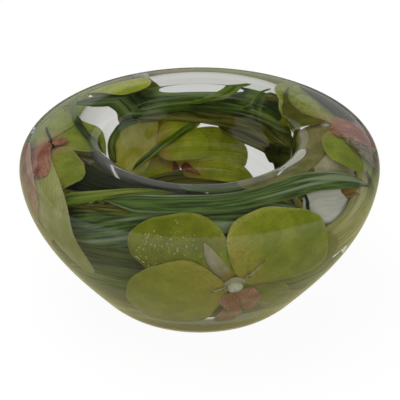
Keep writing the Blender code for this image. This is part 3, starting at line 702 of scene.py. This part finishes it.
# Each leaf: azimuths and stations of its path, layers and widths along it, look and how far it folds. A
# single layer or width holds all along.
leaves = {
    "front_leaf_1": ((-38, -24, -8, 8, 24, 37, 48, 57, 65, 71),
                     (20, 24.5, 27.5, 28.5, 28.5, 27.5, 25, 19.5, 13.5, 9), (15, 15.2, 16.6, 20),
                     (9, 12, 14, 14, 14, 14, 13, 10, 5, 1.5), "frontLeaf", 0.5),
    "front_leaf_2": ((-58, -44, -30, -14, 2, 20, 38), (0, 5, 11, 17, 20, 19, 15), 13.4, 15, "frontLeaf", 0.5),
    "front_leaf_3": ((-72, 38), (-6, 1, 5, 6, 5, 3), 11.4, 15, "deepLeaf", 0.5),
    "front_leaf_4": ((-68, 56), (-18, -12, -8, -8, -10, -14), 9.9, 15, "deepLeaf", 0.5),
    "front_leaf_5": ((-62, 38), (-28, -24, -21, -21, -24), 8.4, 14, "brightLeaf", 0.5),
    "front_leaf_6": ((-60, 66), (-40, -37, -36, -37, -40, -42), 7, 13, "deepLeaf", 0.5),
    "front_leaf_7": ((-56, -46, -38, -30, -22, -12), (10, 16.5, 22.3, 28.5, 33, 35), 16.2, 5.5, "brightLeaf",
                     0.3),
    "front_leaf_8": ((-57, -46, -35, -26), (8, 12.5, 16, 18), 14.4, 3.2, "oliveLeaf", 0.2),
    "front_leaf_9": ((-52, -42, -32, -24, -16), (0, 3.5, 6, 6.5, 5), 12.6, 11, "deepLeaf", 0.4),
    "right_leaf_1": ((24, 100), (-24, -26, -29, -34), 14.6, 13, "deepLeaf", 0.5),
    "right_leaf_2": ((36, 52, 68, 84, 104), (-8, -6, -3, -1, -3), 13, 24, "paleLeaf", 0.4),
    "right_leaf_3": ((104, 116, 128, 138), (17, 18.5, 18.5, 17), (21.4, 21.2), (10, 10, 7, 3), "rimLeaf",
                     0.2),
    # A narrow dark strip in the fold's look along the curled rim of the right dorsal sepal: painted shade.
    "rim_leaf_1": ((108, 114, 120, 126, 131, 135, 138), (35.4, 35.8, 35.6, 34.4, 31.9, 28.8, 24.1),
                   (20.8, 21.2), (4.5, 4.6, 4.2, 3.2, 2.2, 1.6, 1), "fold", 0.1),
    "back_leaf_1": ((112, 128, 144, 162, 180, 200, 214, 226, 236, 243),
                    (38, 38, 37, 36.5, 36.5, 36.5, 35.5, 29.8, 23.6, 14),
                    (12.4, 12.4, 12.4, 12.4, 12.4, 12.4, 12.6, 13.6, 16, 19),
                    (12, 12, 12, 12, 12, 12, 12, 15, 15, 6), "deepLeaf", 0.4),
    "back_leaf_2": ((98, 110, 124, 137, 152, 166, 180, 196, 212, 226),
                    (47, 44.5, 41.5, 39, 37.5, 39, 39.5, 40, 38.5, 33), 9.4, 13, "deepLeaf", 0.4),
    "back_leaf_3": ((100, 114, 128, 142, 156, 170, 184, 198, 212, 226),
                    (52, 51, 50, 48, 46.5, 46, 44, 41.5, 38, 31), 10.9, 11, "oliveLeaf", 0.4),
    "back_leaf_4": ((104, 120, 138, 156, 170), (56, 56.5, 56, 54, 49), 8.2, 9, "oliveLeaf", 0.3),
    "back_leaf_5": ((118, 244), (-44, -42, -41, -42, -44), 10.4, 11, "oliveLeaf", 0.4),
    "back_leaf_6": ((86, 102, 118, 134), (46, 50, 56, 60), 11.9, 12, "shadeLeaf", 0.4),
    "well_leaf_1": ((212, 226, 237, 244.5, 246.5, 243.5), (38, 37.5, 41.5, 46, 51, 59), 8,
                    (13, 11, 9, 11, 12, 6), "deepLeaf", 0.3),
    "well_leaf_2": ((182, 188, 196, 205, 212, 221, 231), (51, 53.5, 58, 61.5, 64.5, 67.5, 70), 10, 4.6,
                    "brightLeaf", 0.2),
    "tip_leaf_1": ((186, 176, 167, 160, 155), (38, 36, 34, 31.5, 28), (13.4, 15.6, 16.4), 3.4, "brightLeaf",
                   0.1),
    "tip_leaf_2": ((154, 149, 147, 145), (38, 34, 31.5, 27), (13.4, 14.8, 15.4), 1.8, "brightLeaf", 0.1),
    "tip_leaf_3": ((144, 140, 136, 132), (32, 32, 32, 32), 15.6, 3.4, "oliveLeaf", 0.2),
    "lip_leaf_1": ((-70, 20), (24, 31, 37, 40, 41), 14, 13, "shadeLeaf", 0.4),
    "lip_leaf_2": ((6, 24, 42, 58, 72), (43, 42, 39, 35, 33), (13, 13.4), 13, "deepLeaf", 0.4),
    "lip_leaf_3": ((-68, -54, -40, -26), (18, 26, 33, 37), 11.6, 20, "shadeLeaf", 0.3),
    "lip_leaf_4": ((-100, -76, -50, -26, -8), (53, 58, 59, 57, 55), 9.8, 22, "greyLeaf", 0.3),
    "lip_leaf_5": ((-14, 2, 16, 30, 42), (49, 51, 52.5, 53, 54), 12.4, 9, "deepLeaf", 0.3),
    "side_leaf_1": ((-109, -96, -85, -74, -62), (26, 32, 36.5, 39.5, 42), 19.4, 3.6, "deepLeaf", 0.2),
    "side_leaf_2": ((-99, -94, -89, -82, -79), (17.2, 18.8, 20.4, 21.6, 21.8), 20.4, 0.7, "shadeLeaf", 0.1),
    "side_leaf_3": ((-128, -121, -114, -108, -102), (15, 19, 23, 26, 28), 20.6, (1.5, 3, 3, 2, 1), "deepLeaf",
                    0.2),
    "well_leaf_3": ((62, 78, 94, 108, 120, 127), (55, 56, 56, 57, 58, 60), 11.4, 17, "shadeLeaf", 0.3),
    # film_leaf_1 and film_leaf_4 are near-white sheets: painted light that stands in for the white backdrop
    # seen through the resin.
    "film_leaf_1": ((39, 46, 53, 61, 68), (13.5, 13.5, 10.4, 7.5, 4.5), 12.2, (7, 14, 14, 8, 3), "whiteLightFilm",
                    0.1),
    "film_leaf_2": ((43.5, 42.5, 41, 40), (21, 17, 14, 11), 13.2, 1.6, "shadeLeaf", 0.1),
    "film_leaf_3": ((59, 63.5, 68, 71.5), (11, 9.5, 7.5, 5), 13, 5, "amberLeaf", 0.1),
    "film_leaf_4": ((79, 71, 65, 60, 57), (40, 41, 43, 46, 53), 16.2, (2, 6, 7, 6, 3), "whiteLightFilm", 0.1),
    "base_leaf_1": ((-70, 80), (-50, -49, -50), 12, 20, "oliveLeaf", 0.3),
    "base_leaf_2": ((100, 260), (-52, -51, -52), 12, 18, "oliveLeaf", 0.3),
}
leafForm = {"rows": 120, "columns": 17, "thickness": 0.8, "corrugation": 0.12, "pointing": 3.2,
            "pointShape": 0.7, "leastHalf": 0.4}


# A strap leaf: a blade carried along its path, its width following a smooth curve and drawn out to a point
# at both ends, folded a little along its midrib.
def buildLeaf(name, shape):
    azimuths, stations, layers, widths, look, fold = shape
    along = np.linspace(0, 1, leafForm["rows"])
    across = np.linspace(-1, 1, leafForm["columns"])
    u, v = np.meshgrid(along, across, indexing="ij")
    pointed = np.minimum(1, leafForm["pointing"] * np.sin(math.pi * along)) ** leafForm["pointShape"]
    half = np.maximum(smoothThrough(widths, along) / 2 * pointed, leafForm["leastHalf"])[:, None]
    middle = smoothThrough(stations, along)
    turn = smoothThrough(azimuths, along)
    corrugation = leafForm["corrugation"] * np.cos(3 * math.pi * v)
    layer = smoothThrough(layers, along)[:, None] + fold * (np.abs(v) - 0.5) + corrugation
    path = ringPoint(0.0, middle, ring["leafReference"], layer[:, leafForm["columns"] // 2])
    radius = np.hypot(path[:, 0], path[:, 1])
    slope = np.arctan2(np.gradient(middle, along), np.gradient(np.radians(turn), along) * radius)[:, None]
    station = middle[:, None] + v * half * np.cos(slope)
    azimuth = turn[:, None] + np.degrees(-v * half * np.sin(slope) / radius[:, None])
    sheetPoints = ringPoint(azimuth, station, ring["leafReference"], layer)
    points, quads = bladeShell(sheetPoints, u, v, leafForm["thickness"])
    # the pattern runs by length in units of 100 mm and by width, and starts elsewhere on every leaf
    length = math.radians(np.abs(np.diff(turn)).sum()) * radius.mean() / 100
    patternShift = 20 * (len(name) + stations[0])
    mark = np.stack([u * length, v, v * np.max(widths) / 2 + patternShift], -1).reshape(-1, 3)
    label = name.split("_")[0] + "Leaf" + name.split("_")[-1]
    makePiece(label, points, quads, materials[look], [name], np.concatenate([mark, mark]))


for leafName, leafShape in leaves.items():
    buildLeaf(leafName, leafShape)
print("leaves made:", len(leaves))

# An olive band that stands upright low in the foot, all the way round: painted light, standing in for the
# olive light that the contents send into the foot.
footStrip = {"radius": 47.0, "low": 1.4, "high": 13.0, "thickness": 0.8, "wave": 0.5, "waves": 5,
             "waveStart": 0.7, "turns": 240}


# The four sides of a thin upright band, turned round the axis, with its edges waving a little.
def buildFootStrip():
    b = footStrip
    corners = np.array([(0, 0), (0, 1), (-1, 1), (-1, 0)], float)
    angle = turnSteps(b["turns"])
    wave = b["wave"] * np.sin(b["waves"] * angle + b["waveStart"])[None, :]
    radius = b["radius"] + b["thickness"] * corners[:, :1] + wave
    height = b["low"] + (b["high"] - b["low"]) * corners[:, 1:] + wave * corners[:, 1:]
    points = np.stack([radius * np.sin(angle), -radius * np.cos(angle), height + 0 * angle], -1)
    here = np.arange(4 * b["turns"]).reshape(4, -1)
    after = np.roll(here, -1, axis=1)
    quads = np.stack([here, after, np.roll(after, -1, axis=0), np.roll(here, -1, axis=0)], -1).reshape(-1, 4)
    level = np.repeat(2 * corners[:, 1:] - 1, b["turns"], 1)
    reach = (b["high"] - b["low"]) / 2 * level
    mark = np.stack([b["radius"] * angle / 100 + 0 * level, 0 * level, reach], -1).reshape(-1, 3)
    makePiece("footLightBand", points.reshape(-1, 3), quads, materials["footLightBand"], blade=mark)


buildFootStrip()


# Trapped air.

# Clusters of tiny bubbles that cling to a blade: the blade's place and direction, the lowest layer, how far
# out and how far aside the cluster reaches, and how many there are.
bubbleClusters = [
    ((12, -12.5), -58, 17.6, (40, 54), (-12, 4), 110),
    ((12, -12.5), -58, 18, (26, 46), (2, 15), 80),
    ((12, -12.5), -58, 18.2, (14, 40), (-12, 12), 50),
    ((12, -12.5), 139, 20.4, (14, 34), (-8, 8), 16),
    ((101, 36), 170, 21.6, (10, 40), (-12, 14), 70),
    ((-75, 22), 120, 21, (6, 24), (-10, 10), 24),
]
bubble = {"leastRadius": 0.12, "mostRadius": 0.55, "depth": 1.6, "sides": 8, "levels": 5, "seed": 7}


# Every bubble is a faceted ball: rings between two poles, moved and scaled. Most are small, since the radius
# follows the cube of an even draw.
def buildBubbles():
    b = bubble
    draw = np.random.default_rng(b["seed"])
    centres, radii = [], []
    for place, direction, lowLayer, outRange, sideRange, count in bubbleClusters:
        out = draw.uniform(*outRange, count)
        side = draw.uniform(*sideRange, count)
        layer = lowLayer + draw.uniform(0, b["depth"], count)
        centres.append(flowerPoint(place, direction, out, side, layer))
        radii.append(b["leastRadius"] + (b["mostRadius"] - b["leastRadius"]) * draw.random(count) ** 3)
    centres, radii = np.concatenate(centres), np.concatenate(radii)
    tilt = np.linspace(-math.pi / 2, math.pi / 2, b["levels"] + 2)[1:-1, None]
    turn = turnSteps(b["sides"])
    rings = np.stack([np.cos(tilt) * np.cos(turn), np.cos(tilt) * np.sin(turn),
                      np.repeat(np.sin(tilt), b["sides"], 1)], -1)
    ball, faces = closedRings(rings, [0, 0, -1], [0, 0, 1])
    points = centres[:, None] + radii[:, None, None] * ball
    shift = (np.arange(len(centres)) * len(ball))[:, None, None]
    makePiece("airBubbles", points.reshape(-1, 3), (faces + shift).reshape(-1, 3), airMaterial())


buildBubbles()
print("bubbles made")


# Floor, light and camera.

# What the camera and the resin see of the room. Rays that have left a flower get the plain world instead.
studio = {
    "floorRadius": 3.0, "floorDrop": 0.0002, "floorCorners": 64, "matte": (0.85, 0.85, 0.85, 1),
    "world": 0.35, "tableGlow": 1.04, "tableShare": 0.9, "card": 0.85, "backdrop": 0.66, "ceiling": 0.10,
    "cardLine": 0.754, "cardEdge": 0.01, "backdropLine": 0.5, "backdropEdge": 0.03,
}
# The table's glow in a first reflection: between two reaches in metres it goes from the backdrop's strength
# to the near one and turns warm, and behind the bowl it loses the share behind. It covers the matte table by
# share, and by moreShare on top in a reflection.
mirrored = {"near": 0.5, "nearReach": (0.5, 0.12), "behind": 0.7, "behindReach": (0.0, 0.3),
            "share": 0.5, "moreShare": 0.4, "white": "#ffffff", "warmWhite": "#fff9b8"}


# Which rays show the pale surroundings: those of the camera, those mirrored in the gloss or passed through
# the resin but not yet scattered by the flowers, and, third, which are reflections.
def paleShares(tree):
    path = addNode(tree, "ShaderNodeLightPath")
    direct = path.outputs["Is Camera Ray"]
    through = mathNode(tree, "MAXIMUM", path.outputs["Is Glossy Ray"], path.outputs["Is Transmission Ray"])
    fresh = mathNode(tree, "LESS_THAN", path.outputs["Diffuse Depth"], 0.5)
    indirect = mathNode(tree, "SUBTRACT", 1.0, direct)
    return direct, times(tree, times(tree, through, fresh), indirect), path.outputs["Is Reflection Ray"]


# The white table: matte to the flowers, and a set glow to the rays that show the surroundings.
def tableMaterial():
    made, tree = newMaterial("whiteTable")
    direct, through, reflected = paleShares(tree)
    matte = addNode(tree, "ShaderNodeBsdfDiffuse", {"Color": studio["matte"]})
    spot = objectPlace(tree)
    reach = addNode(tree, "ShaderNodeVectorMath", {0: spot}, operation="LENGTH").outputs["Value"]
    depth = addNode(tree, "ShaderNodeSeparateXYZ", {0: spot}).outputs["Y"]
    near = times(tree, reflected, smoothStep(tree, reach, *mirrored["nearReach"]))
    behind = times(tree, reflected, smoothStep(tree, depth, *mirrored["behindReach"]))
    kept = mathNode(tree, "SUBTRACT", 1.0, times(tree, behind, mirrored["behind"]))
    dimmed = times(tree, spread(tree, near, studio["backdrop"], mirrored["near"]), kept)
    strength = plus(tree, times(tree, direct, studio["tableGlow"]), times(tree, through, dimmed))
    warmth = mixColour(tree, near, linearColour(mirrored["white"]), linearColour(mirrored["warmWhite"]))
    glow = addNode(tree, "ShaderNodeEmission", {"Color": warmth, "Strength": strength})
    throughShare = plus(tree, mirrored["share"], times(tree, reflected, mirrored["moreShare"]))
    share = plus(tree, times(tree, direct, studio["tableShare"]), times(tree, through, throughShare))
    showSurface(tree, addNode(tree, "ShaderNodeMixShader", {
        0: share, 1: matte.outputs[0], 2: glow.outputs[0]}))
    return made


def buildFloor():
    angle = turnSteps(studio["floorCorners"])
    corners = np.stack([np.cos(angle), np.sin(angle), 0 * angle], 1) * studio["floorRadius"]
    corners[:, 2] = -studio["floorDrop"]
    mesh = bpy.data.meshes.new("tableTop")
    mesh.from_pydata(corners.tolist(), [], [tuple(range(len(angle)))])
    mesh.materials.append(tableMaterial())
    floor = bpy.data.objects.new("tableTop", mesh)
    bpy.context.scene.collection.objects.link(floor)


# The surroundings: white to the camera. In the gloss and through the resin a white card stands in front, up
# to a slanted edge, a grey backdrop stands behind up to a lower edge, and the room above them is dark.
def buildWorld():
    world = bpy.data.worlds.new("studioRoom")
    bpy.context.scene.world = world
    world.use_nodes = True
    tree = world.node_tree
    tree.nodes.clear()
    direct, through, _ = paleShares(tree)
    direction = addNode(tree, "ShaderNodeTexCoord").outputs["Generated"]
    _, depth, height = addNode(tree, "ShaderNodeSeparateXYZ", {0: direction}).outputs
    level = studio["ceiling"]
    for kind, slope in (("card", -studio["cardLine"]), ("backdrop", studio["backdropLine"])):
        below = mathNode(tree, "SUBTRACT", times(tree, depth, slope), height)
        shown = smoothStep(tree, below, -studio[kind + "Edge"], studio[kind + "Edge"])
        level = mathNode(tree, "MAXIMUM", times(tree, shown, studio[kind]), level)
    rest = mathNode(tree, "SUBTRACT", 1.0, plus(tree, direct, through))
    strength = plus(tree, plus(tree, direct, times(tree, rest, studio["world"])), times(tree, through, level))
    sky = addNode(tree, "ShaderNodeBackground", {"Color": (1, 1, 1, 1), "Strength": strength})
    addNode(tree, "ShaderNodeOutputWorld", {"Surface": sky.outputs[0]})


# An object at a place in metres, its -Z axis turned to the target.
def aim(name, data, place, target):
    holder = bpy.data.objects.new(name, data)
    bpy.context.scene.collection.objects.link(holder)
    holder.location = place
    holder.rotation_euler = (Vector(target) - Vector(place)).to_track_quat("-Z", "Y").to_euler()
    return holder


# Place, size in metres and power in watts of each soft lamp.
lamps = {
    "topSoftbox": ((-0.25, 0.15, 0.95), (0.8, 0.8), 5.0),
    "frontSoftbox": ((0.35, -0.95, 0.75), (0.7, 0.5), 3.0),
}
lampTarget = (0, 0, 0.05)
view = {"distance": 0.9, "elevation": 30.0, "aimHeight": 0.05174, "lens": 143.4, "sensor": 36.0,
        "shift": (0.001, -0.00125)}


def addLamp(name, place, size, power):
    light = bpy.data.lights.new(name, "AREA")
    light.shape = "RECTANGLE"
    light.size, light.size_y = size
    light.energy = power
    lamp = aim(name, light, place, lampTarget)
    lamp.visible_glossy = False
    lamp.visible_transmission = False


def buildCamera():
    tilt = math.radians(view["elevation"])
    place = (0, -view["distance"] * math.cos(tilt), view["aimHeight"] + view["distance"] * math.sin(tilt))
    camera = bpy.data.cameras.new("camera")
    camera.lens = view["lens"]
    camera.sensor_width = view["sensor"]
    camera.shift_x, camera.shift_y = view["shift"]
    bpy.context.scene.camera = aim("camera", camera, place, (0, 0, view["aimHeight"]))


buildFloor()
buildWorld()
for lampName, lamp in lamps.items():
    addLamp(lampName, *lamp)
buildCamera()
bpy.context.scene.view_settings.view_transform = "Standard"
print("studio made")
